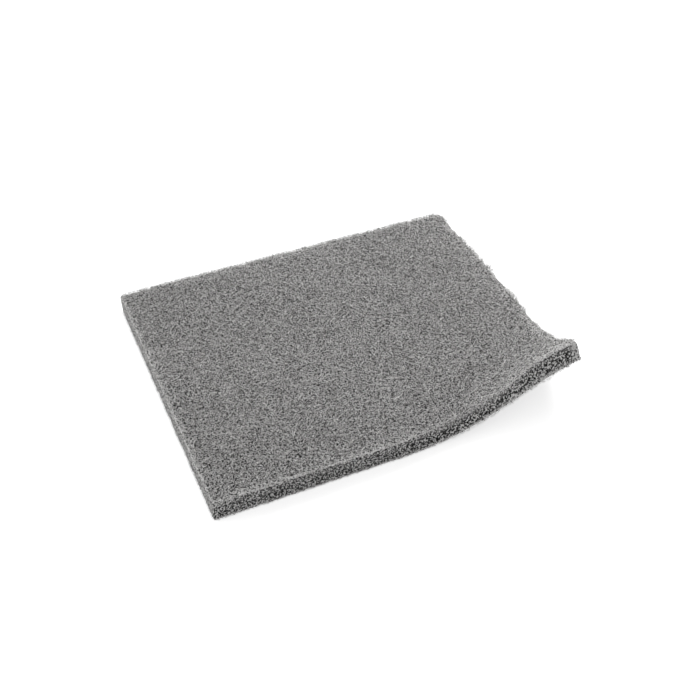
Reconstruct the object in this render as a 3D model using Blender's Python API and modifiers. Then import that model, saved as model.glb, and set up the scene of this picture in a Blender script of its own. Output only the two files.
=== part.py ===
# Scuff pad: one rectangular sheet of grey nonwoven abrasive web, with one corner curled up.
# Units are metres. The pad lies on its flat underside at z = 0, with the origin at the middle
# of its rectangle. X runs along the long side, Y along the short side, and the corner at
# +X, -Y is the curled one.

from math import ceil, cos, exp, radians, sin

import bmesh
import bpy
from mathutils import Vector, noise

# The flat sheet
PAD_LENGTH = 0.140
PAD_WIDTH = 0.115
PAD_THICKNESS = 0.0077
RIM_ROUND = 0.0009  # the soft edge that the cutter leaves all round

# The curl. Its bend starts at a straight line across the corner, turns the web up over the
# bend's length, and leaves the rest of the corner as a flat flap.
CURL_START = 0.043  # from that line to the corner, along the web
BEND_LENGTH = 0.0275
FLAP_ANGLE = radians(36)
CURL_HEADING = radians(-57.3)  # the way from the line to the corner, turned from +X

# The web is pressed thinner where the flap leaves the bend.
SQUEEZE_DEPTH = 0.0018
SQUEEZE_REACH = 0.018

# The laid web isn't even: its top rises and falls gently.
LOFT_DEPTH = 0.0004
LOFT_SPACING = 0.017

CELL = 0.003  # side of a mesh cell
RIM_SEGMENTS = 2
ANGLE_STEP = 0.0005  # step along the web when the curl is added up
RIM_CREASE = radians(50)  # edges sharper than this are rounded

WEB_GREY = (0.222, 0.219, 0.215, 1.0)
WEB_ROUGHNESS = 0.95

OBJECT_NAME = "scuff_pad"
NODE_NAME = "nonwoven_pad"


def clear_scene():
    for obj in list(bpy.data.objects):
        bpy.data.objects.remove(obj, do_unlink=True)


def web_material():
    """Resin-bonded grey fibre web, with no shine."""
    material = bpy.data.materials.new("grey_nonwoven_web")
    material.use_nodes = True
    shader = material.node_tree.nodes["Principled BSDF"]
    shader.inputs["Base Color"].default_value = WEB_GREY
    shader.inputs["Roughness"].default_value = WEB_ROUGHNESS
    shader.inputs["Metallic"].default_value = 0.0
    material.diffuse_color = WEB_GREY
    return material


def heading():
    return Vector((cos(CURL_HEADING), sin(CURL_HEADING), 0.0))


def run_past_bend(point):
    """How far a point of the flat sheet lies past the line where the bend starts."""
    corner = Vector((PAD_LENGTH / 2, -PAD_WIDTH / 2, 0.0))
    return (point - corner).dot(heading()) + CURL_START


def curl_angle(run):
    """The web's slope: it eases from flat to the flap's angle over the bend's length."""
    share = min(max(run / BEND_LENGTH, 0.0), 1.0)
    return FLAP_ANGLE * share * share * (3 - 2 * share)


def curled(point):
    """Rolls a point of the flat underside up the curl, keeping its distance along the web."""
    run = run_past_bend(point)
    if run <= 0:
        return point.copy()
    steps = ceil(run / ANGLE_STEP)
    step = run / steps
    angles = [curl_angle((i + 0.5) * step) for i in range(steps)]
    along = step * sum(cos(angle) for angle in angles)
    rise = step * sum(sin(angle) for angle in angles)
    return point + heading() * (along - run) + Vector((0.0, 0.0, rise))


def web_thickness(point):
    """Thickness over a point of the flat sheet: squeezed at the bend and gently uneven."""
    past = (run_past_bend(point) - BEND_LENGTH) / SQUEEZE_REACH
    squeeze = SQUEEZE_DEPTH * exp(-past * past)
    dip = LOFT_DEPTH * (0.5 - 0.5 * noise.noise(point / LOFT_SPACING))
    return PAD_THICKNESS - squeeze - dip


def underside_sheet():
    """The underside as a grid, curled, with each point's thickness as its share of the most."""
    bm = bmesh.new()
    bmesh.ops.create_grid(
        bm,
        x_segments=round(PAD_LENGTH / CELL),
        y_segments=round(PAD_WIDTH / CELL),
        size=0.5,
    )
    bmesh.ops.scale(bm, vec=(PAD_LENGTH, PAD_WIDTH, 1.0), verts=bm.verts)
    flat = [vertex.co.copy() for vertex in bm.verts]
    for vertex in bm.verts:
        vertex.co = curled(vertex.co)
    mesh = bpy.data.meshes.new(NODE_NAME)
    bm.to_mesh(mesh)
    bm.free()
    mesh.shade_smooth()
    return mesh, [web_thickness(point) / PAD_THICKNESS for point in flat]


def build_pad(collection):
    """The sheet given its thickness upwards, with every rim rounded."""
    mesh, shares = underside_sheet()
    mesh.materials.append(web_material())
    pad = bpy.data.objects.new(NODE_NAME, mesh)
    collection.objects.link(pad)
    loft = pad.vertex_groups.new(name="loft")
    for index, share in enumerate(shares):
        loft.add([index], share, "REPLACE")
    body = pad.modifiers.new("thickness", "SOLIDIFY")
    body.thickness = PAD_THICKNESS
    body.offset = 1.0
    body.vertex_group = loft.name
    rim = pad.modifiers.new("soft rim", "BEVEL")
    rim.width = RIM_ROUND
    rim.segments = RIM_SEGMENTS
    rim.limit_method = "ANGLE"
    rim.angle_limit = RIM_CREASE


def main():
    clear_scene()
    collection = bpy.data.collections.new(OBJECT_NAME)
    bpy.context.scene.collection.children.link(collection)
    build_pad(collection)


main()
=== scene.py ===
# The looks of a grey nonwoven scuff pad: a springy web of crimped, resin-coated fibres.
# Lengths are in millimetres here, and become metres as each mesh is made.
import math
import bpy
import numpy as np
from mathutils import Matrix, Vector


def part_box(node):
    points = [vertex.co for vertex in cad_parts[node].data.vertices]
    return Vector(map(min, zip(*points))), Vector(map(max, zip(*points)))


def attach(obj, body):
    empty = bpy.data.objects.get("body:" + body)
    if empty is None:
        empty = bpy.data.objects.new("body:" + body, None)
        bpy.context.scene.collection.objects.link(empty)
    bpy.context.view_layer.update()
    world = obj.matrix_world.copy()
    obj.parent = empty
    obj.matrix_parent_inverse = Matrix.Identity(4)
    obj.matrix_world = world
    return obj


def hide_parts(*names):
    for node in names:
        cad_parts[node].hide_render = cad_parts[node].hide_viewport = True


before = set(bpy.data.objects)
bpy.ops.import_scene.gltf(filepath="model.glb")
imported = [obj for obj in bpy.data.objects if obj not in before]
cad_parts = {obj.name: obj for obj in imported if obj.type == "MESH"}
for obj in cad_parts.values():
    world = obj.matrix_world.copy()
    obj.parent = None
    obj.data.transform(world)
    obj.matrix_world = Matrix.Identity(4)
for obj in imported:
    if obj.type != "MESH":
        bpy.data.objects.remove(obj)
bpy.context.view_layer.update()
mm = 0.001

# The sheet before it is curled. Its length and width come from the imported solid.
sheet = {
    "node": "nonwoven_pad",
    "thickness": 7.7,
    "rimRound": 0.3,
    "cornerRound": 1.6,
    "cornerPoints": 9,
    "loftDip": 0.4,        # how deep the top's gentle hollows are
    "loftSpacing": 17.0,
    "loftFrom": 5.0,       # the hollows fade out this near to a cut edge
    "loftSeed": 11,
}
low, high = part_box(sheet["node"])
halfLength = (high.x - low.x) / 2 / mm
halfWidth = (high.y - low.y) / 2 / mm

# The corner's curl. Its line, length, angle and squeeze are the solid's. The rest is finer form.
bend = {
    "start": 43.0,         # from the corner back to the line where the bend starts
    "length": 27.5,
    "angle": 36.0,
    "heading": -57.3,      # the way to the corner, turned from +X
    "droop": 11.0,         # how many degrees the flap falls back by from the bend's end to its tip
    "squeeze": 1.8,        # how much thinner the web is at the bend's end
    "squeezeReach": (18.0, 11.0),    # before the bend's end and past it
    "loose": (28.0, 35.0),    # over this run the near rim regains its thickness
    "looseWidth": 9.0,
    "pinch": 2.2,          # how much the right side's rim is rolled down on the flap
    "pinchAt": 33.0,
    "pinchReach": 7.0,
    "pinchWidth": 8.0,
    "shear": 0.06,         # the share of the bend that the top skin takes up by sliding
    "spare": 10.0,         # the curl is worked out this far past the corner, for fibres that stand out
    "steps": 600,
}
curlWay = np.array([math.cos(math.radians(bend["heading"])), math.sin(math.radians(bend["heading"]))])
curledCorner = np.array([halfLength, -halfWidth])


def smooth(share):
    # The smoothstep: 3s^2 - 2s^3 of a share held between 0 and 1
    s = np.clip(share, 0.0, 1.0)
    return s * s * (3.0 - 2.0 * s)


lattice = {
    "values": 4096,
    "steps": (73856093, 19349663, 83492791),    # large primes, so that neighbouring cells differ
}


def cloud(points, spacing, seed):
    # Smooth noise from -1 to 1: random values on a cubic lattice, blended by smoothstep between its corners
    table = np.random.default_rng(seed).uniform(-1.0, 1.0, lattice["values"])
    at = points / spacing
    cell = np.floor(at).astype(np.int64)
    part = smooth(at - cell)
    total = np.zeros(points.shape[:-1])
    for corner in np.ndindex(2, 2, 2):
        where = cell + np.array(corner)
        value = table[(where @ np.array(lattice["steps"])) % lattice["values"]]
        share = np.where(np.array(corner) == 1, part, 1.0 - part).prod(-1)
        total += value * share
    return total


def runPastBend(flat):
    # How far flat points lie past the bend's line, measured towards the corner
    return (flat[..., :2] - curledCorner) @ curlWay + bend["start"]


def shareOfBend(flat):
    # 0 before the bend, 1 past it
    return smooth(runPastBend(flat) / bend["length"])


def squeezed(flat):
    # How much thinner the web is: a bell over the run, which eases off along the near rim of the flap, and a
    # second bell that rolls down the rim of its right side
    x, y, run = flat[..., 0], flat[..., 1], runPastBend(flat)
    reach = np.where(run < bend["length"], *bend["squeezeReach"])
    bell = bend["squeeze"] * np.exp(-((run - bend["length"]) / reach) ** 2)
    looseFrom, looseTo = bend["loose"]
    loose = smooth((run - looseFrom) / (looseTo - looseFrom))
    bell = bell * (1.0 - loose * (1.0 - smooth((y + halfWidth) / bend["looseWidth"])))
    pinch = bend["pinch"] * np.exp(-((run - bend["pinchAt"]) / bend["pinchReach"]) ** 2)
    return bell + pinch * (1.0 - smooth((halfLength - x) / bend["pinchWidth"]))


def curlProfile():
    # The slope over the run eases from 0 to the bend's angle, and a little back towards the tip. The running
    # sums of its cosine and sine say how far along and how far up that takes the underside.
    knots = np.linspace(0.0, bend["start"] + bend["spare"], bend["steps"])
    fall = smooth((knots - bend["length"]) / (bend["start"] - bend["length"]))
    slope = np.radians(bend["angle"] * smooth(knots / bend["length"]) - bend["droop"] * fall)
    middle = (slope[1:] + slope[:-1]) / 2
    step = knots[1] - knots[0]
    along = np.concatenate([[0.0], np.cumsum(np.cos(middle)) * step])
    rise = np.concatenate([[0.0], np.cumsum(np.sin(middle)) * step])
    return knots, slope, along, rise


def curl(flat):
    # Flat points (x, y, height) as they lie in the curled pad. The height is first scaled by the web's own
    # thickness there. The curl's profile then carries the point along and up, and the height stands square
    # to the slope. Last, the point slides along the slope by its height times the slope times a share, as
    # the layers of a soft web do.
    ground = flat * np.array([1.0, 1.0, 0.0])
    dip = sheet["loftDip"] * (0.5 - 0.5 * cloud(ground, sheet["loftSpacing"], sheet["loftSeed"]))
    inward = np.minimum(halfLength - np.abs(flat[..., 0]), halfWidth - np.abs(flat[..., 1]))
    dip = dip * smooth(inward / sheet["loftFrom"])
    height = flat[..., 2] * (1.0 - (squeezed(flat) + dip) / sheet["thickness"])
    knots, slope, along, rise = curlProfile()
    run = np.maximum(runPastBend(flat), 0.0)
    tilt = np.interp(run, knots, slope)
    slide = bend["shear"] * tilt * height
    shift = np.interp(run, knots, along) - run - np.sin(tilt) * height + np.cos(tilt) * slide
    xy = flat[..., :2] + shift[..., None] * curlWay
    z = np.interp(run, knots, rise) + np.cos(tilt) * height + np.sin(tilt) * slide
    return np.concatenate([xy, z[..., None]], -1)


def overRim(across, along, depth, face):
    # A skin of the sheet, unrolled over its rims. A point's way out is taken from a rectangle that lies
    # inside by the corners' radius. Past the flat part, what is left becomes an angle round a quarter
    # circle, and then a length down the cut edge. The face is 1 for the top and -1 for the underside.
    r, corner = sheet["rimRound"], sheet["cornerRound"]
    at = np.stack([across, along], -1)
    limit = np.array([halfLength - corner, halfWidth - corner])
    inner = np.clip(at, -limit, limit)
    over = at - inner
    length = np.linalg.norm(over, axis=-1)
    way = over / np.maximum(length, 1e-9)[..., None]
    past = np.maximum(length - (corner - r), 0.0)
    angle = np.minimum(past / r, math.pi / 2)
    drop = np.maximum(past - r * math.pi / 2, 0.0)
    xy = inner + way * (np.minimum(length, corner - r) + (r - depth) * np.sin(angle))[..., None]
    sunk = r - (r - depth) * np.cos(angle) + drop
    height = sheet["thickness"] - sunk if face > 0 else sunk
    outward = np.concatenate([way * np.sin(angle)[..., None], (face * np.cos(angle))[..., None]], -1)
    return np.concatenate([xy, height[..., None]], -1), outward


def perimeter():
    # The sheet's outline as a closed line with round corners: places, outward directions and running length
    r = sheet["cornerRound"]
    turns = np.linspace(0.0, math.pi / 2, sheet["cornerPoints"])
    limit = np.array([halfLength - r, halfWidth - r])
    places, ways = [], []
    for signX, signY, start in ((1, 1, 0.0), (-1, 1, 90.0), (-1, -1, 180.0), (1, -1, 270.0)):
        angles = turns + math.radians(start)
        way = np.stack([np.cos(angles), np.sin(angles)], -1)
        places.append(np.array([signX, signY]) * limit + r * way)
        ways.append(way)
    places = np.concatenate(places + [places[0][:1]])
    ways = np.concatenate(ways + [ways[0][:1]])
    running = np.concatenate([[0.0], np.cumsum(np.linalg.norm(np.diff(places, axis=0), axis=1))])
    return places, ways, running


edgePlaces, edgeWays, edgeRunning = perimeter()
edgeLength = edgeRunning[-1]


def cutEdge(along, height, depth):
    # The cut edge, unrolled: a length round the outline and a height. Near both rims the face rounds inwards.
    r = sheet["rimRound"]
    around = along % edgeLength
    xy = np.stack([np.interp(around, edgeRunning, edgePlaces[:, i]) for i in (0, 1)], -1)
    way = np.stack([np.interp(around, edgeRunning, edgeWays[:, i]) for i in (0, 1)], -1)
    way = way / np.linalg.norm(way, axis=-1, keepdims=True)
    level = np.clip(height, 0.0, sheet["thickness"])
    past = np.maximum(np.maximum(r - level, level - (sheet["thickness"] - r)), 0.0)
    inset = r - np.sqrt(np.maximum(r * r - past * past, 0.0)) + depth
    outward = np.concatenate([way, np.zeros_like(way[..., :1])], -1)
    return np.concatenate([xy - way * inset[..., None], level[..., None]], -1), outward


# How far the fibres of one layer differ: shares of a crimp's length and of its swing
crimp = {"length": (0.7, 1.5), "swing": (0.4, 1.0)}


def wander(rng, count, points, step, swing, waves):
    # The headings of crimped fibres: each swings as the sum of two sines with random phases. With them goes
    # each point's way along its fibre.
    s = np.arange(points) * step
    heading = np.zeros((count, points))
    for wave in waves:
        length = wave * rng.uniform(*crimp["length"], (count, 1))
        strength = swing * rng.uniform(*crimp["swing"], (count, 1))
        heading += strength * np.sin(2 * math.pi * (s / length + rng.random((count, 1))))
    return s, heading


def walk(heading, step):
    # Walks of equal steps: the running sums of the heading's cosine and sine, centred on each walk's middle
    xy = np.stack([np.cos(heading), np.sin(heading)], -1).cumsum(1) * step
    return xy - xy.mean(1, keepdims=True)


def weave(rng, s, dive, count):
    # How each fibre goes in and out of the web: a sine of its own length and phase, from -1 out to 1 in
    return np.sin(2 * math.pi * (s / rng.uniform(*dive, (count, 1)) + rng.random((count, 1))))


def fold(value, limit):
    # Turns a walk back where it would pass a limit, as a triangle wave
    return limit - np.abs((value - limit) % (4 * limit) - 2 * limit)


def tubes(paths, outward, radii, sides):
    # A round section swept along every path at once. The section's plane is set by the path's tangent and
    # the skin's outward direction. Rings are joined by quads, and each end is closed by one face.
    tangent = np.gradient(paths, axis=1)
    tangent /= np.linalg.norm(tangent, axis=-1, keepdims=True)
    side = np.cross(tangent, outward)
    side /= np.maximum(np.linalg.norm(side, axis=-1, keepdims=True), 1e-6)
    up = np.cross(side, tangent)
    turn = 2 * math.pi * np.arange(sides) / sides
    ring = side[:, :, None] * np.cos(turn)[:, None] + up[:, :, None] * np.sin(turn)[:, None]
    verts = paths[:, :, None] + ring * radii[..., None, None]
    count, points = paths.shape[:2]
    index = np.arange(count * points * sides).reshape(count, points, sides)
    a, b = index[:, :-1], index[:, 1:]
    quads = np.stack([a, np.roll(a, -1, 2), np.roll(b, -1, 2), b], -1).reshape(-1, 4)
    caps = np.concatenate([index[:, 0, ::-1], index[:, -1]])
    return verts.reshape(-1, 3), quads, caps


def meshPiece(name, verts, faceSets, attributes, material):
    # Puts arrays of points and faces into a mesh, in metres, with its attributes
    mesh = bpy.data.meshes.new(name)
    corners = np.concatenate([faces.ravel() for faces in faceSets]).astype(np.int32)
    sizes = np.concatenate([np.full(len(faces), faces.shape[1]) for faces in faceSets])
    starts = np.concatenate([[0], np.cumsum(sizes)[:-1]]).astype(np.int32)
    mesh.vertices.add(len(verts))
    mesh.vertices.foreach_set("co", (verts * mm).astype(np.float32).ravel())
    mesh.loops.add(len(corners))
    mesh.loops.foreach_set("vertex_index", corners)
    mesh.polygons.add(len(sizes))
    mesh.polygons.foreach_set("loop_start", starts)
    mesh.polygons.foreach_set("use_smooth", np.ones(len(sizes), bool))
    mesh.update(calc_edges=True)
    for key, values in attributes.items():
        layer = mesh.attributes.new(key, "FLOAT", "POINT")
        layer.data.foreach_set("value", values.astype(np.float32).ravel())
    mesh.materials.append(material)
    piece = bpy.data.objects.new(name, mesh)
    bpy.context.scene.collection.objects.link(piece)
    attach(piece, "root")
    print(f"{name}: {int((sizes - 2).sum())} triangles")
    return piece


# Materials


def linear(hexColour):
    # An sRGB hex value as linear red, green, blue and alpha
    parts = [int(hexColour[i:i + 2], 16) / 255 for i in (1, 3, 5)]
    return tuple(c / 12.92 if c <= 0.04045 else ((c + 0.055) / 1.055) ** 2.4 for c in parts) + (1.0,)


def addNode(tree, kind, settings=None, values=None, links=None):
    # One node, with its settings, its unlinked values and the outputs that feed it
    node = tree.nodes.new(kind)
    for key, value in (settings or {}).items():
        setattr(node, key, value)
    for key, value in (values or {}).items():
        node.inputs[key].default_value = value
    for key, output in (links or {}).items():
        tree.links.new(output, node.inputs[key])
    return node


def newMaterial(name):
    # A material, its nodes and the shader among them
    material = bpy.data.materials.new(name)
    material.use_nodes = True
    tree = material.node_tree
    return material, tree, tree.nodes["Principled BSDF"]


# The resin on the fibres. Spacings and radii are in mm, and levels run from 0 for dark to 1 for light. The
# materials' own coordinates are in metres, so a pattern's scale is 1000 over its spacing.
resin = {
    "dark": "#302c2a",
    "light": "#e6e5e4",
    "shade": "#070605",    # the painted shade that the gaps and pores between strands fall to
    "grain": 0.4,          # the abrasive grit, drawn coarser than the real 0.05 mm so that it shows
    "gapSpacing": 0.42,    # the deepest strands have the same spacing
    "gap": (0.615, 0.635),    # between these values of the noise the shade sets in
    "proud": (0.80, 0.95),    # between these levels a strand comes to stand above the shade
    "pores": (0.8, 0.27, (0.0, 0.0, 0.0)),    # spacing, radius, and the pattern's shift in metres
    "glints": (1.1, 0.22, (0.053, 0.024, 0.042)),    # painted highlights: grains that catch the light
    "glintLift": 0.5,
    "spotEdge": (0.8, 1.2),    # a round spot fades out between these shares of its radius
}


def dots(tree, place, spec, strength):
    # Round spots of one radius, scattered through space one to a cell: the distance to the nearest cell's
    # point, cut off softly at the radius
    spacing, radius, start = spec
    inside, outside = (share * radius / spacing for share in resin["spotEdge"])
    moved = addNode(tree, "ShaderNodeVectorMath", {"operation": "ADD"}, {1: start}, {0: place})
    cells = addNode(
        tree, "ShaderNodeTexVoronoi", values={"Scale": 1000 / spacing}, links={"Vector": moved.outputs[0]},
    )
    return addNode(
        tree, "ShaderNodeMapRange", {"interpolation_type": "SMOOTHSTEP"},
        {1: inside, 2: outside, 3: strength, 4: 0.0}, {0: cells.outputs["Distance"]},
    ).outputs[0]


def resinColour(tree, place, level, uneven):
    # Grey abrasive resin: dark to light by a level, made uneven by the grit, with pale spots where grains
    # catch the light: painted highlights. Where a smooth noise stands well above its middle it lies in
    # painted shade, apart from the palest strands. Round pores between the strands are painted nearly black,
    # as shade.
    # Fibres and core share all this, so the shade and the spots go through every layer.
    grit = addNode(
        tree, "ShaderNodeTexNoise", values={"Scale": 1000 / resin["grain"], "Detail": 0.0},
        links={"Vector": place},
    )
    speckle = addNode(
        tree, "ShaderNodeMath", {"operation": "MULTIPLY_ADD"}, {1: uneven, 2: -uneven / 2},
        {0: grit.outputs["Fac"]},
    )
    total = addNode(tree, "ShaderNodeMath", {"operation": "ADD"}, links={0: level, 1: speckle.outputs[0]})
    total = addNode(
        tree, "ShaderNodeMath", {"operation": "ADD", "use_clamp": True},
        links={0: total.outputs[0], 1: dots(tree, place, resin["glints"], resin["glintLift"])},
    )
    colour = addNode(
        tree, "ShaderNodeMix", {"data_type": "RGBA"},
        {6: linear(resin["dark"]), 7: linear(resin["light"])}, {0: total.outputs[0]},
    )
    gap = addNode(
        tree, "ShaderNodeTexNoise", values={"Scale": 1000 / resin["gapSpacing"], "Detail": 0.0},
        links={"Vector": place},
    )
    gapFrom, gapTo = resin["gap"]
    shade = addNode(
        tree, "ShaderNodeMapRange", {"interpolation_type": "SMOOTHSTEP"}, {1: gapFrom, 2: gapTo},
        {0: gap.outputs["Fac"]},
    )
    proudFrom, proudTo = resin["proud"]
    deep = addNode(
        tree, "ShaderNodeMapRange", {"interpolation_type": "SMOOTHSTEP"},
        {1: proudFrom, 2: proudTo, 3: 1.0, 4: 0.0}, {0: level},
    )
    shade = addNode(
        tree, "ShaderNodeMath", {"operation": "MULTIPLY"},
        links={0: shade.outputs[0], 1: deep.outputs[0]},
    )
    gapped = addNode(
        tree, "ShaderNodeMix", {"data_type": "RGBA"}, {7: linear(resin["shade"])},
        {0: shade.outputs[0], 6: colour.outputs[2]},
    )
    return addNode(
        tree, "ShaderNodeMix", {"data_type": "RGBA"}, {7: linear(resin["shade"])},
        {0: dots(tree, place, resin["pores"], 1.0), 6: gapped.outputs[2]},
    ).outputs[2]


fibreFinish = {
    "uneven": 0.6,         # how far the grit moves its level
    "roughness": 0.78,
    "specular": 0.35,
}


def coatedFibre():
    # Nylon fibre dipped in grey abrasive resin: matt, with a gritty skin. The tone that each fibre is given
    # makes it paler where it stands proud and darker where it dives in: painted light and shade.
    material, tree, shader = newMaterial("resinCoatedFibre")
    place = addNode(tree, "ShaderNodeTexCoord").outputs["Object"]
    tone = addNode(tree, "ShaderNodeAttribute", {"attribute_name": "tone"}).outputs["Fac"]
    colour = resinColour(tree, place, tone, fibreFinish["uneven"])
    tree.links.new(colour, shader.inputs["Base Color"])
    shader.inputs["Roughness"].default_value = fibreFinish["roughness"]
    shader.inputs["Specular IOR Level"].default_value = fibreFinish["specular"]
    return material


coreFinish = {
    "floor": 0.08,         # the level between the strands: painted shade deep in the web
    # The deeper a strand lies, the darker its level: painted shade.
    # Crossing strands, the deepest first: their spacing, their half width in values of the noise, their level
    "strands": [(0.42, 0.070, 0.44), (0.39, 0.065, 0.48), (0.34, 0.060, 0.54), (0.36, 0.050, 0.66)],
    "strandEdge": (0.5, 1.5),    # a strand fades out between these shares of its half width
    "strandShift": (0.013, 0.029, 0.007),    # in metres, from one layer's pattern to the next
    "distortion": 0.5,
    "holeSpacing": 0.66,
    "hole": (0.50, 0.52),    # between these values of the noise a hole opens
    "roundHoles": (1.0, 0.34, (0.031, 0.017, 0.023)),
    # the painted shade inside the cut's open holes
    "holeShade": "#020201",
    "crossing": 0.2,       # how much of a hole the top strands hide where they cross it
    "uneven": 1.0,
    "bump": 0.5,
    "bumpDepth": 0.25,
    "roughness": 0.95,
    "specular": 0.1,
}


def innerWeb():
    # The web seen between its top fibres: a tangle too fine to part. Each layer of strands is drawn where
    # a smooth noise crosses its middle value, which gives thin curved lines that cross and loop. The deeper
    # strands and the pores between them are darker, as painted shade, and the cut edge has open holes that
    # are painted nearly black, as shade.
    material, tree, shader = newMaterial("webInDepth")
    place = addNode(tree, "ShaderNodeTexCoord").outputs["Object"]
    cut = addNode(tree, "ShaderNodeAttribute", {"attribute_name": "cut"}).outputs["Fac"]
    # the lift holds painted highlight and shade: from the rims, the near left corner and the cut's sides
    lift = addNode(tree, "ShaderNodeAttribute", {"attribute_name": "lift"}).outputs["Fac"]
    levelBelow, heightBelow = {}, {}    # the first layer lies over the floor
    for number, (spacing, width, shade) in enumerate(coreFinish["strands"]):
        moved = addNode(
            tree, "ShaderNodeVectorMath", {"operation": "ADD"},
            {1: tuple(number * shift for shift in coreFinish["strandShift"])}, {0: place},
        )
        field = addNode(
            tree, "ShaderNodeTexNoise",
            values={"Scale": 1000 / spacing, "Detail": 0.0, "Distortion": coreFinish["distortion"]},
            links={"Vector": moved.outputs[0]},
        )
        off = addNode(tree, "ShaderNodeMath", {"operation": "SUBTRACT"}, {1: 0.5}, {0: field.outputs["Fac"]})
        away = addNode(tree, "ShaderNodeMath", {"operation": "ABSOLUTE"}, links={0: off.outputs[0]})
        inside, outside = (share * width for share in coreFinish["strandEdge"])
        line = addNode(
            tree, "ShaderNodeMapRange", {"interpolation_type": "SMOOTHSTEP"},
            {1: inside, 2: outside, 3: 1.0, 4: 0.0}, {0: away.outputs[0]},
        ).outputs[0]
        level = addNode(
            tree, "ShaderNodeMix", {"data_type": "FLOAT"}, {2: coreFinish["floor"], 3: shade},
            {0: line, **levelBelow},
        )
        proud = (number + 1) / len(coreFinish["strands"])
        height = addNode(
            tree, "ShaderNodeMix", {"data_type": "FLOAT"}, {2: 0.0, 3: proud}, {0: line, **heightBelow},
        )
        levelBelow, heightBelow = {2: level.outputs[0]}, {2: height.outputs[0]}
    lifted = addNode(tree, "ShaderNodeMath", {"operation": "ADD"}, links={0: lift, 1: level.outputs[0]})
    noise = addNode(
        tree, "ShaderNodeTexNoise", values={"Scale": 1000 / coreFinish["holeSpacing"], "Detail": 0.0},
        links={"Vector": place},
    )
    holeFrom, holeTo = coreFinish["hole"]
    hole = addNode(
        tree, "ShaderNodeMapRange", {"interpolation_type": "SMOOTHSTEP"}, {1: holeFrom, 2: holeTo},
        {0: noise.outputs["Fac"]},
    )
    hole = addNode(
        tree, "ShaderNodeMath", {"operation": "MAXIMUM"},
        links={0: hole.outputs[0], 1: dots(tree, place, coreFinish["roundHoles"], 1.0)},
    )
    hole = addNode(tree, "ShaderNodeMath", {"operation": "MULTIPLY"}, links={0: hole.outputs[0], 1: cut})
    crossed = addNode(
        tree, "ShaderNodeMath", {"operation": "MULTIPLY_ADD"}, {1: -coreFinish["crossing"], 2: 1.0},
        {0: line},
    )
    hole = addNode(
        tree, "ShaderNodeMath", {"operation": "MULTIPLY"},
        links={0: hole.outputs[0], 1: crossed.outputs[0]},
    )
    strands = resinColour(tree, place, lifted.outputs[0], coreFinish["uneven"])
    colour = addNode(
        tree, "ShaderNodeMix", {"data_type": "RGBA"}, {7: linear(coreFinish["holeShade"])},
        {0: hole.outputs[0], 6: strands},
    )
    bump = addNode(
        tree, "ShaderNodeBump",
        values={"Strength": coreFinish["bump"], "Distance": coreFinish["bumpDepth"] * mm},
        links={"Height": height.outputs[0]},
    )
    tree.links.new(colour.outputs[2], shader.inputs["Base Color"])
    tree.links.new(bump.outputs[0], shader.inputs["Normal"])
    shader.inputs["Roughness"].default_value = coreFinish["roughness"]
    shader.inputs["Specular IOR Level"].default_value = coreFinish["specular"]
    return material


# How tone, with painted highlight and shade, is spread over the pad

# Cut ends crowd along the rims and catch the light: a painted highlight, how strong, and the length over
# which it fades
paintedRimLight = {
    "left": (0.80, 0.75),
    "right": (0.70, 1.8),
    "far": (0.85, 1.3),
    "near": (0.70, 1.2),
    "tip": (0.30, 12.0),    # painted highlight round the curled corner, which tilts towards the light
    "lip": (0.40, 14.0),    # painted highlight along the near rim of the flap
    "lipScale": (0.5, 1.6),    # the lip's lengths are scaled by this along the rim and across it
    "dimAt": 20.0,        # round this place the near rim's painted highlight is mostly taken away
    "dimReach": 11.0,
    "dimShare": 0.85,
    "core": 0.7,           # the core's share of the painted highlight
    "fuzz": 0.5,           # and the fuzz's
}


def paintedRimHighlight(flat):
    # Painted highlight at the rims: the strongest of six. Five are exponentials, each of the way in from one
    # side or from the curled corner, and a bell takes most of the near side's away. The sixth is a bell round
    # that corner, stretched along the near rim.
    x, y = flat[..., 0], flat[..., 1]
    ways = {
        "left": x + halfLength,
        "right": halfLength - x,
        "far": halfWidth - y,
        "near": y + halfWidth,
        "tip": np.hypot(halfLength - x, y + halfWidth),
    }
    highlights = {}
    for side, way in ways.items():
        strength, reach = paintedRimLight[side]
        highlights[side] = strength * np.exp(-np.maximum(way, 0.0) / reach)
    dimmed = paintedRimLight["dimShare"] * np.exp(-((x - paintedRimLight["dimAt"]) / paintedRimLight["dimReach"]) ** 2)
    highlights["near"] = highlights["near"] * (1.0 - dimmed)
    along, across = paintedRimLight["lipScale"]
    strength, reach = paintedRimLight["lip"]
    away = np.hypot((halfLength - x) * along, (y + halfWidth) * across)
    highlights["lip"] = strength * np.exp(-(away / reach) ** 2)
    return np.maximum.reduce(list(highlights.values()))


# Painted shade at the near left corner: how dark at most, and how far it reaches
cornerShade = {"depth": 0.03, "reach": 60.0}


def paintedCornerShade(flat):
    # Painted shade: the near left corner is a little darker, where the light falls off, as a bell over the
    # way from it
    away = np.hypot(flat[..., 0] + halfLength, flat[..., 1] + halfWidth)
    return cornerShade["depth"] * np.exp(-(away / cornerShade["reach"]) ** 2)


# The body of the web, a little inside its fibres

core = {
    "skinInset": 0.30,
    "underInset": 0.10,
    "edgeInset": 0.06,
    "round": 0.3,
    "cell": 1.0,
    "rimLines": (0.25, 0.5, 0.75, 1.0),    # closer lines, at these shares of the round, for a crisp rim
    "weldDigits": 5,       # points alike to so many decimals are one
    "lump": 0.18,
    "lumpSpacing": 2.0,
    "lumpSeed": 5,
}

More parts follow.
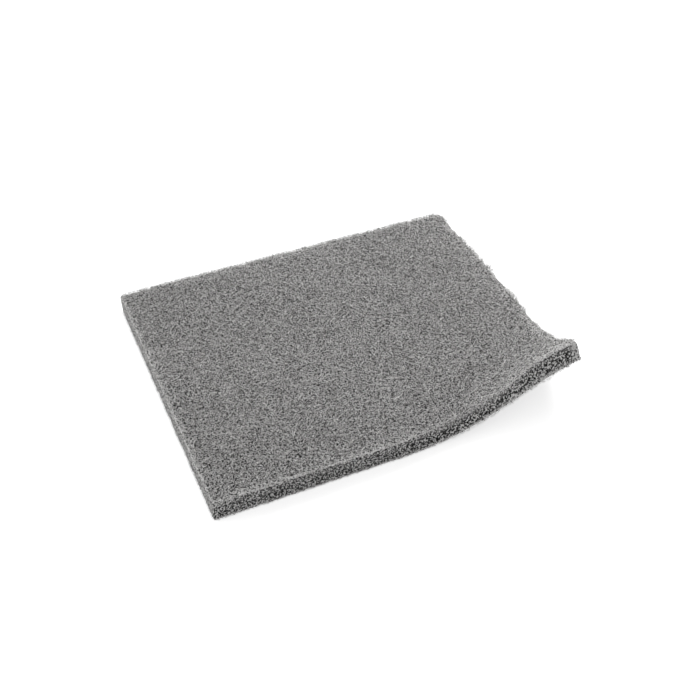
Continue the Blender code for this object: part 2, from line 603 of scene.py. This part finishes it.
# How open the cut edges' holes are, and how much paler their strands are painted
cutLooks = {
    "from": 0.5,           # the cut's looks start where the surface faces outward this much
    "over": 0.3,           # and are full where it does so by this much more
    "sideTurn": 2.0,       # a side's own look is full where the surface faces half or more that way
    "holes": {"near": 1.0, "left": 0.28, "others": 0.75},    # how open each side's holes are
    "pale": {"near": 0.43, "left": 0.12, "others": 0.14},    # and how much paler its strands are painted, which stands in for how the light falls on that side
    "holesFrom": 0.5,      # the holes start this high above the underside
    "holesFull": 1.4,      # and are full from here up
    "band": 2.2,           # along the lifted lower rim the cut is frayed, pale and closed
    "bandPale": 0.15,
    "tip": 4.5,            # this near to the curled corner too
    "tipPale": 0.30,
    "frayFrom": 4.5,       # and, in part, above this height on the near cut, most of all over the bend
    "frayFull": 7.0,
    "frayAt": 28.0,
    "frayReach": 20.0,
    "frayLeast": 0.25,
    "frayCloses": 0.5,
    "frayPale": 0.20,
}


def gridLines(half):
    # Even lines from end to end, with closer ones where the surface rounds over
    even = half - core["round"]
    lines = np.linspace(-even, even, int(round(2 * even / core["cell"])) + 1)
    ends = even + core["round"] * np.array(core["rimLines"])
    return np.concatenate([-ends[::-1], lines, ends])


def boxFace(axis, end, lines):
    # One face of a box as a grid of two parameters, which run over the lines of its two directions
    a, b = [i for i in range(3) if i != axis]
    u, v = np.meshgrid(lines[a], lines[b], indexing="ij")
    points = np.empty(u.shape + (3,))
    points[..., axis] = end * lines[axis][-1]
    points[..., a] = u
    points[..., b] = v
    index = np.arange(u.size).reshape(u.shape)
    quads = np.stack([index[:-1, :-1], index[1:, :-1], index[1:, 1:], index[:-1, 1:]], -1).reshape(-1, 4)
    flip = (end > 0) == (axis == 1)
    return points.reshape(-1, 3), quads[:, ::-1] if flip else quads


def boxGrid(halves):
    # A box's six faces as one closed grid, welded where they meet
    lines = [gridLines(half) for half in halves]
    faces = [boxFace(axis, end, lines) for axis in range(3) for end in (-1, 1)]
    starts = np.cumsum([0] + [len(points) for points, _ in faces])
    points = np.concatenate([points for points, _ in faces])
    quads = np.concatenate([quads + start for (_, quads), start in zip(faces, starts)])
    alike = np.round(points, core["weldDigits"])
    _, first, index = np.unique(alike, axis=0, return_index=True, return_inverse=True)
    return points[first], index.reshape(-1)[quads]


def cutTones(flat, outward):
    # How open the holes are, and how much paler the strands. Each side of the cut has its own of both; the
    # paleness is painted light, for how the light falls on each side. Smoothsteps over the height and over
    # the way from the corner close the holes and make the strands paler where the cut is frayed. Off the cut
    # there are no holes, and the strands take the rims' painted highlight and the near left corner's painted
    # shade.
    x, height = flat[:, 0], flat[:, 2]
    cut = smooth((np.linalg.norm(outward[:, :2], axis=1) - cutLooks["from"]) / cutLooks["over"])
    nearSide = smooth(-cutLooks["sideTurn"] * outward[:, 1])
    leftSide = smooth(-cutLooks["sideTurn"] * outward[:, 0])
    sides = {"near": nearSide, "left": leftSide, "others": 1.0 - nearSide - leftSide}
    curled = shareOfBend(flat)
    band = curled * (1.0 - smooth(height / cutLooks["band"]))
    fromCorner = np.hypot(halfLength - x, flat[:, 1] + halfWidth)
    tip = curled * (1.0 - smooth(fromCorner / cutLooks["tip"]))
    fray = smooth((height - cutLooks["frayFrom"]) / (cutLooks["frayFull"] - cutLooks["frayFrom"])) * nearSide
    most = np.exp(-((x - cutLooks["frayAt"]) / cutLooks["frayReach"]) ** 2)
    fray = fray * (cutLooks["frayLeast"] + (1.0 - cutLooks["frayLeast"]) * most)
    holes = cut * smooth((height - cutLooks["holesFrom"]) / (cutLooks["holesFull"] - cutLooks["holesFrom"]))
    holes = holes * (1.0 - np.maximum(band, tip)) * (1.0 - cutLooks["frayCloses"] * fray)
    holes = holes * sum(cutLooks["holes"][side] * share for side, share in sides.items())
    pale = sum(cutLooks["pale"][side] * share for side, share in sides.items())
    pale = pale + np.maximum(cutLooks["bandPale"] * band, cutLooks["tipPale"] * tip * nearSide)
    pale = pale + cutLooks["frayPale"] * fray
    skin = paintedRimLight["core"] * paintedRimHighlight(flat) - paintedCornerShade(flat)
    return holes, skin * (1.0 - cut) + pale * cut


def buildCore(material):
    # A rounded box: a box's surface point is held inside a smaller box, and stands off that by the round's
    # radius along what is left. It is then pushed in and out by noise, like a lumpy web, and curled.
    halves = np.array([
        halfLength - core["edgeInset"],
        halfWidth - core["edgeInset"],
        (sheet["thickness"] - core["skinInset"] - core["underInset"]) / 2,
    ])
    points, quads = boxGrid(halves)
    inner = np.clip(points, -(halves - core["round"]), halves - core["round"])
    outward = points - inner
    outward /= np.linalg.norm(outward, axis=1, keepdims=True)
    lump = core["lump"] * cloud(points, core["lumpSpacing"], core["lumpSeed"])
    middle = np.array([0.0, 0.0, core["underInset"] + halves[2]])
    flat = inner + outward * (core["round"] + lump)[:, None] + middle
    # the lift is painted light and shade
    holes, lift = cutTones(flat, outward)
    piece = meshPiece("webCore", curl(flat), [quads], {"cut": holes, "lift": lift}, material)
    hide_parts(sheet["node"])


# The fibres

tube = {
    "sides": 3,            # from a step away that looks round
    "lookOut": 0.05,       # how far out a point is followed through the curl, to find the way out there
    "end": 0.55,           # a blunt end's share of the radius
    "growth": 0.45,        # and how much of it each point further in adds
}


def fibrePiece(name, flat, outward, radii, tone, material):
    # Curls the centre lines with the sheet, sweeps them as tubes and gives each point its tone
    lines = curl(flat)
    away = curl(flat + outward * tube["lookOut"]) - lines
    away /= np.linalg.norm(away, axis=-1, keepdims=True)
    verts, quads, caps = tubes(lines, away, radii, tube["sides"])
    meshPiece(name, verts, [quads, caps], {"tone": np.repeat(tone, tube["sides"], axis=1)}, material)


def taper(count, points, radius, spread, rng):
    # Each fibre's own radius, thinning over its last steps to a blunt end
    fromEnd = np.minimum(np.arange(points), np.arange(points)[::-1])
    grown = np.clip(tube["end"] + tube["growth"] * fromEnd, 0, 1)
    return radius * rng.uniform(1 - spread, 1 + spread, (count, 1)) * grown[None]


def spreadEvenly(count, seed):
    # An additive recurrence: multiples of two irrational steps, less their whole parts, cover a square evenly
    steps = np.array([0.7548777, 0.5698403])    # the inverse of the plastic number, and its square
    start = np.random.default_rng(seed).random(2)
    return (start + np.arange(count)[:, None] * steps) % 1.0


gathering = {
    "turn": 33.0,          # the noise's lattice is turned by this, so that it doesn't line up with the sheet
    "nudge": 0.05,         # the slope is measured over this to both sides
}


def gather(at, pull, spacing, seed):
    # Draws points uphill on smooth noise, by its slope times a pull, so that fibres bunch into strands with
    # open pores between them
    angle, nudge = math.radians(gathering["turn"]), gathering["nudge"]
    turned = np.array([[math.cos(angle), math.sin(angle), 0.0], [-math.sin(angle), math.cos(angle), 0.0]])
    slope = []
    for step in (np.array([nudge, 0.0]), np.array([0.0, nudge])):
        ahead = cloud((at + step) @ turned, spacing, seed)
        behind = cloud((at - step) @ turned, spacing, seed)
        slope.append((ahead - behind) / (2 * nudge))
    return at + pull * np.stack(slope, -1)


# What the layers on both skins have in common
skinFibres = {
    "combed": 0.75,        # how much the fibres on the flap are combed towards +X
    "weaves": (0.6, 1.0),    # how strongly each one weaves in and out
    "toneSpread": 0.10,
    "smallPatches": (5.0, 21),    # the spacing and seed of paler and darker patches
    "largePatches": (16.0, 22),
    "gatherSeed": 71,
    "radiusSpread": 0.25,
    "crests": 0.25,        # painted shade: a fibre is paler where it stands proud, darker where it dives in
}
topWeb = {
    "points": 9,
    "dive": (1.7, 3.6),    # how far a fibre runs between two dives into the web
    "overhang": -0.1,      # how far the skin laps over the rims
    "pull": 0.03,
    "poreSpacing": 1.1,
    "patches": (0.02, 0.015),    # how strong the small and the large patches are
}
# The deeper a layer lies, the darker its tone: painted shade on top of the shade that the fibres cast
topLayers = {
    "topWebInner": {
        "seed": 100, "fibres": 2600, "step": 0.52, "radius": 0.09, "swing": 0.95, "waves": (4.5, 3.0),
        "depth": 0.24, "sway": 0.20, "brightness": 0.48,
    },
    "topWebOuter": {
        "seed": 101, "fibres": 1500, "step": 0.60, "radius": 0.09, "swing": 0.8, "waves": (6.0, 4.0),
        "depth": 0.12, "sway": 0.20, "brightness": 0.54,
    },
    "topWebProud": {
        "seed": 102, "fibres": 2400, "step": 0.70, "radius": 0.085, "swing": 0.6, "waves": (10.0, 6.0),
        "depth": -0.05, "sway": 0.09, "brightness": 0.92,
    },
}
undersideWeb = {
    "seed": 200,
    "fibres": 1500,
    "points": 10,
    "step": 1.1,
    "radius": 0.17,
    "swing": 0.9,
    "waves": (7.0, 4.0),
    "dive": (3.0, 6.0),
    "overhang": 1.2,
    "pull": 0.12,
    "poreSpacing": 1.3,
    "patches": (0.03, 0.03),
    "depth": 0.2,
    "sway": 0.05,
    "brightness": 0.42,
}


def skinWeb(name, spec, face, material):
    # Fibres laid on one skin: walks over the sheet that turn back past its rims, and weave in and out
    rng = np.random.default_rng(spec["seed"])
    count, points, step = spec["fibres"], spec["points"], spec["step"]
    s, heading = wander(rng, count, points, step, spec["swing"], spec["waves"])
    limit = np.array([halfLength, halfWidth]) + spec["overhang"]
    start = (2 * spreadEvenly(count, spec["seed"]) - 1) * limit
    first = rng.uniform(-math.pi, math.pi, count) * (1 - shareOfBend(start) * skinFibres["combed"])
    xy = start[:, None] + walk(heading + first[:, None], step)
    xy = np.stack([fold(xy[..., i], limit[i]) for i in (0, 1)], -1)
    xy = gather(xy, spec["pull"], spec["poreSpacing"], skinFibres["gatherSeed"])
    waver = weave(rng, s, spec["dive"], count) * rng.uniform(*skinFibres["weaves"], (count, 1))
    flat, outward = overRim(xy[..., 0], xy[..., 1], spec["depth"] + spec["sway"] * waver, face)
    tone = spec["brightness"] + rng.normal(0, skinFibres["toneSpread"], (count, 1))
    tone = tone - skinFibres["crests"] * waver
    small, large = spec["patches"]
    patches = small * cloud(flat, *skinFibres["smallPatches"])
    patches += large * cloud(flat, *skinFibres["largePatches"])
    tone += patches
    # painted highlight at the rims, less the painted shade at the near left corner
    tone += paintedRimHighlight(flat) - paintedCornerShade(flat)
    radii = taper(count, points, spec["radius"], skinFibres["radiusSpread"], rng)
    fibrePiece(name, flat, outward, radii, np.clip(tone, 0, 1), material)


edgeWeb = {
    "seed": 31,
    "fibres": 800,
    "points": 9,
    "step": 0.6,
    "radius": 0.06,
    "radiusSpread": 0.3,
    "swing": 0.95,
    "waves": (4.5, 2.8),
    "headingSpread": 0.7,    # most run along the edge
    "lowShare": 0.2,       # this share of them lies in the lowest part of the edge
    "lowPart": 0.25,
    "dive": (1.5, 3.2),
    "pull": 0.2,
    "poreSpacing": 1.3,
    "gatherSeed": 72,
    "depth": 0.15,
    "sway": 0.3,
    "brightness": 0.72,
    "toneSpread": 0.10,
    # paler where a fibre stands out of the cut, darker where it dives in: painted shade
    "crests": 0.38,
    "topRimHighlight": 0.2,        # painted highlight at the top rim: how much paler, and over what length it fades
    "rimFade": 0.4,
}


def cutEdgeWeb(material):
    # Fibres bared by the cut: walks along the edge that dive in and out of it
    rng = np.random.default_rng(edgeWeb["seed"])
    count, points, step = edgeWeb["fibres"], edgeWeb["points"], edgeWeb["step"]
    s, heading = wander(rng, count, points, step, edgeWeb["swing"], edgeWeb["waves"])
    first = rng.normal(0, edgeWeb["headingSpread"], count)
    path = walk(heading + first[:, None], step)
    share = rng.random((count, 2))
    isLow = rng.random(count) < edgeWeb["lowShare"]
    level = np.where(isLow, share[:, 1] * edgeWeb["lowPart"], share[:, 1])
    half = sheet["thickness"] / 2 - edgeWeb["radius"]
    start = np.stack([share[:, 0] * edgeLength, (2 * level - 1) * half], -1)
    at = start[:, None] + path
    at = gather(at, edgeWeb["pull"], edgeWeb["poreSpacing"], edgeWeb["gatherSeed"])
    height = sheet["thickness"] / 2 + fold(at[..., 1], half)
    waver = weave(rng, s, edgeWeb["dive"], count)
    flat, outward = cutEdge(at[..., 0], height, edgeWeb["depth"] + edgeWeb["sway"] * waver)
    tone = edgeWeb["brightness"] + rng.normal(0, edgeWeb["toneSpread"], (count, 1))
    tone = tone - edgeWeb["crests"] * waver
    tone += edgeWeb["topRimHighlight"] * np.exp((height - sheet["thickness"]) / edgeWeb["rimFade"])
    radii = taper(count, points, edgeWeb["radius"], edgeWeb["radiusSpread"], rng)
    fibrePiece("cutEdgeWeb", flat, outward, radii, np.clip(tone, 0, 1), material)


cutEnds = {
    "seed": 47,
    "fibres": 600,
    "points": 4,
    "radius": 0.055,
    "radiusSpread": 0.2,
    "length": (0.5, 1.4),
    "slant": 0.7,          # how much they lean along the edge, as a share of their length
    "rise": 0.4,
    "out": (0.3, 0.8),     # how straight out they stand
    "rooted": 0.2,
    "reach": 0.45,         # the furthest that one stands out of the cut
    "lowest": 0.1,         # how far their roots stay from the underside and from the top
    "highest": 0.2,
    "tone": (0.5, 1.0),
}


def cutEdgeEnds(material):
    # Stubs of cut fibre on the edge: each starts a little inside, and leans out in a straight line
    rng = np.random.default_rng(cutEnds["seed"])
    count, points = cutEnds["fibres"], cutEnds["points"]
    share = np.linspace(0, 1, points)[None]
    length = rng.uniform(*cutEnds["length"], (count, 1))
    root = rng.uniform(0, edgeLength, (count, 1))
    along = root + length * share * rng.normal(0, cutEnds["slant"], (count, 1))
    height = rng.uniform(cutEnds["lowest"], sheet["thickness"] - cutEnds["highest"], (count, 1)) + 0 * share
    depths = cutEnds["rooted"] - length * share * rng.uniform(*cutEnds["out"], (count, 1))
    flat, outward = cutEdge(along, height, np.maximum(depths, -cutEnds["reach"]))
    flat[..., 2] += length * share * rng.normal(0, cutEnds["rise"], (count, 1))
    flat[..., 2] = np.maximum(flat[..., 2], cutEnds["radius"])
    tone = np.repeat(rng.uniform(*cutEnds["tone"], (count, 1)), points, axis=1)
    radii = taper(count, points, cutEnds["radius"], cutEnds["radiusSpread"], rng)
    fibrePiece("cutEnds", flat, outward, radii, tone, material)


rimFuzz = {
    "seed": 53,
    "fibres": 9000,
    "points": 4,
    "radius": 0.06,
    "radiusSpread": 0.2,
    "rooted": 0.2,         # how deep in the cut they start
    "upperBase": 0.08,     # how far below the top they start
    "lowerBase": 0.2,      # or above the underside
    "length": (0.6, 1.6),
    "lean": (0.4, 1.5),    # from low to nearly straight up, in radians
    "bending": 0.4,        # how far they bend over as they go
    "slant": 0.6,
    "lower": 0.36,         # the share on the lower rim: shorter, and leaning out
    "lowerLean": (0.4, -0.1),    # the share of the lean, and what is added to it
    "lowerLength": {"flap": 0.55, "others": 0.45},
    "tuftSpacing": 3.5,
    "tuftSeed": 61,
    "tufts": {"right": 1.4, "others": 0.12},
    "strip": 2.0,          # a side's own fuzz grows where the edge lies this near to its furthest line
    "frontLength": 0.45,   # along the near and left sides it is shorter, and stands up more
    "frontLean": (0.3, 0.8),    # the same for these
    "flapFrom": 13.0,      # this far past the bend's line the lower fuzz is longer, pale, and hangs down too
    "flapLean": (-1.1, 0.4),
    "flapHang": 2.0,       # the furthest that it may hang down
    "flapPale": 0.15,
    "flapTufts": 0.3,      # the share of the tufts' length that is left at the curled corner
    "tone": (0.5, 0.85),
}


def teasedRims(material):
    # Fine fibre ends teased out along both rims. Each leaves the rim's round at its own lean between out and
    # up, and bends over as it goes. Smooth noise along the rim makes some stretches longer, most of all on
    # the right side, where the cut pulled tufts out, and less towards the curled corner.
    rng = np.random.default_rng(rimFuzz["seed"])
    count, points = rimFuzz["fibres"], rimFuzz["points"]
    share = np.linspace(0, 1, points)[None]
    start = rng.uniform(0, edgeLength, (count, 1))
    lower = rng.random((count, 1)) < rimFuzz["lower"]
    base = np.where(lower, rimFuzz["lowerBase"], sheet["thickness"] - rimFuzz["upperBase"])
    spot = cutEdge(start, base, rimFuzz["rooted"])[0]
    strip = rimFuzz["strip"]
    right = spot[..., 0] > halfLength - strip
    front = ((spot[..., 0] < strip - halfLength) | (spot[..., 1] < strip - halfWidth)) & ~lower
    lifted = runPastBend(spot) > rimFuzz["flapFrom"]
    tuftSize = np.where(right, rimFuzz["tufts"]["right"], rimFuzz["tufts"]["others"])
    tuft = cloud(spot, rimFuzz["tuftSpacing"], rimFuzz["tuftSeed"]) * tuftSize
    tuft = tuft * (1.0 - (1.0 - rimFuzz["flapTufts"]) * shareOfBend(spot))
    under = np.where(lifted, rimFuzz["lowerLength"]["flap"], rimFuzz["lowerLength"]["others"])
    length = rng.uniform(*rimFuzz["length"], (count, 1)) * np.where(lower, under, 1 + tuft)
    length *= np.where(front, rimFuzz["frontLength"], 1.0)
    lean = rng.uniform(*rimFuzz["lean"], (count, 1))
    frontShare, frontMore = rimFuzz["frontLean"]
    lean = np.where(front, frontMore + frontShare * lean, lean)
    lowerShare, lowerMore = rimFuzz["lowerLean"]
    lean = np.where(lower, lean * lowerShare + lowerMore, lean)
    lean = np.where(lower & lifted, rng.uniform(*rimFuzz["flapLean"], (count, 1)), lean)
    lean = lean + share * rng.normal(0, rimFuzz["bending"], (count, 1))
    step = length / (points - 1)
    out = (step * np.cos(lean)).cumsum(1) - step
    up = (step * np.sin(lean)).cumsum(1) - step
    along = start + length * share * rng.normal(0, rimFuzz["slant"], (count, 1))
    flat, outward = cutEdge(along, base + 0 * share, rimFuzz["rooted"] - out)
    lowest = np.where(lifted, -rimFuzz["flapHang"], rimFuzz["radius"])
    flat[..., 2] = np.maximum(flat[..., 2] + up, lowest)
    tone = np.repeat(rng.uniform(*rimFuzz["tone"], (count, 1)), points, axis=1)
    # the fuzz takes a share of the rims' painted highlight
    tone = tone + paintedRimLight["fuzz"] * paintedRimHighlight(flat) + rimFuzz["flapPale"] * (lower & lifted)
    radii = taper(count, points, rimFuzz["radius"], rimFuzz["radiusSpread"], rng)
    fibrePiece("rimFuzz", flat, outward, radii, tone, material)


def buildPad():
    fibre = coatedFibre()
    buildCore(innerWeb())
    for name, layer in topLayers.items():
        skinWeb(name, {**topWeb, **layer}, 1, fibre)
    skinWeb("undersideWeb", undersideWeb, -1, fibre)
    cutEdgeWeb(fibre)
    cutEdgeEnds(fibre)
    teasedRims(fibre)


# The stage: camera, floor and light

view = {
    "azimuth": -23.91,
    "elevation": 41.72,
    "distance": 386.4,
    "right": 2.51,         # how far the photograph's centre lies from the sheet's middle
    "up": 0.60,
    "lens": 52.65,
    "sensor": 36.0,
    "sees": (0.01, 20.0),    # from and to this many metres away
}


def placeCamera():
    # The camera stands at its azimuth, elevation and distance from a place that lies to the right of the
    # sheet's middle and above it, as the camera sees them
    azimuth, elevation = math.radians(view["azimuth"]), math.radians(view["elevation"])
    level = math.cos(elevation)
    back = Vector((math.sin(azimuth) * level, -math.cos(azimuth) * level, math.sin(elevation)))
    right = Vector((math.cos(azimuth), math.sin(azimuth), 0.0))
    up = back.cross(right)
    camera = bpy.data.objects.new("camera", bpy.data.cameras.new("camera"))
    camera.data.lens = view["lens"]
    camera.data.sensor_width = view["sensor"]
    camera.data.clip_start, camera.data.clip_end = view["sees"]
    camera.location = (back * view["distance"] + right * view["right"] + up * view["up"]) * mm
    camera.rotation_mode = "QUATERNION"
    camera.rotation_quaternion = (-back).to_track_quat("-Z", "Y")
    bpy.context.scene.collection.objects.link(camera)
    bpy.context.scene.camera = camera


# Here places and sizes are in metres, and the lamps' power is in watts
studio = {
    "world": 0.5,
    "floorSize": 6.0,
    "floorDrop": 0.0001,    # so that the floor doesn't touch the underside
    "floorGrey": 0.75,
    "floorGlow": 0.62,
    "floorRoughness": 0.9,
    "lamps": {
        "left": {"place": (-2.44, 0.80, 0.66), "size": 1.3, "power": 33.0},
        "back": {"place": (0.42, 0.42, 0.50), "size": 0.35, "power": 3.9},
        "front": {"place": (0.2, -1.6, 1.0), "size": 1.6, "power": 2.6},
    },
}
white = (1.0, 1.0, 1.0, 1.0)


def seenDirectly(tree):
    # 1 on rays from the camera and those that mirrors and glass send on, else 0
    rays = addNode(tree, "ShaderNodeLightPath")
    seen = rays.outputs["Is Camera Ray"]
    for kind in ("Is Glossy Ray", "Is Transmission Ray"):
        seen = addNode(
            tree, "ShaderNodeMath", {"operation": "MAXIMUM"}, links={0: seen, 1: rays.outputs[kind]},
        ).outputs[0]
    return seen


def lightStage():
    # The plain white world shines at part strength, and is seen as full white past the floor's edge
    world = bpy.data.worlds.new("studio")
    world.use_nodes = True
    background = world.node_tree.nodes["Background"]
    background.inputs["Color"].default_value = white
    strength = addNode(
        world.node_tree, "ShaderNodeMix", {"data_type": "FLOAT"}, {2: studio["world"], 3: 1.0},
        {0: seenDirectly(world.node_tree)},
    )
    world.node_tree.links.new(strength.outputs[0], background.inputs["Strength"])
    bpy.context.scene.world = world
    for name, spec in studio["lamps"].items():
        lamp = bpy.data.objects.new(name, bpy.data.lights.new(name, "AREA"))
        lamp.data.size = spec["size"]
        lamp.data.energy = spec["power"]
        lamp.location = spec["place"]
        lamp.rotation_mode = "QUATERNION"
        lamp.rotation_quaternion = (-Vector(spec["place"])).to_track_quat("-Z", "Y")
        bpy.context.scene.collection.objects.link(lamp)


def whitePaper():
    # Seamless white paper: it takes the pad's soft shadow. A glow that shows only to the camera and in
    # reflections keeps it white.
    material, tree, shader = newMaterial("seamlessPaper")
    shader.inputs["Base Color"].default_value = (studio["floorGrey"],) * 3 + (1.0,)
    shader.inputs["Roughness"].default_value = studio["floorRoughness"]
    shader.inputs["Specular IOR Level"].default_value = 0.0
    shader.inputs["Emission Color"].default_value = white
    glow = addNode(
        tree, "ShaderNodeMath", {"operation": "MULTIPLY"}, {1: studio["floorGlow"]}, {0: seenDirectly(tree)},
    )
    tree.links.new(glow.outputs[0], shader.inputs["Emission Strength"])
    return material


def layFloor():
    bpy.ops.mesh.primitive_plane_add(size=studio["floorSize"], location=(0.0, 0.0, -studio["floorDrop"]))
    floor = bpy.context.active_object
    floor.name = "floor"
    floor.data.materials.append(whitePaper())


print("frame loaded")
placeCamera()
layFloor()
lightStage()
print("stage set")
buildPad()
print("pad built")
bpy.context.scene.view_settings.view_transform = "Standard"
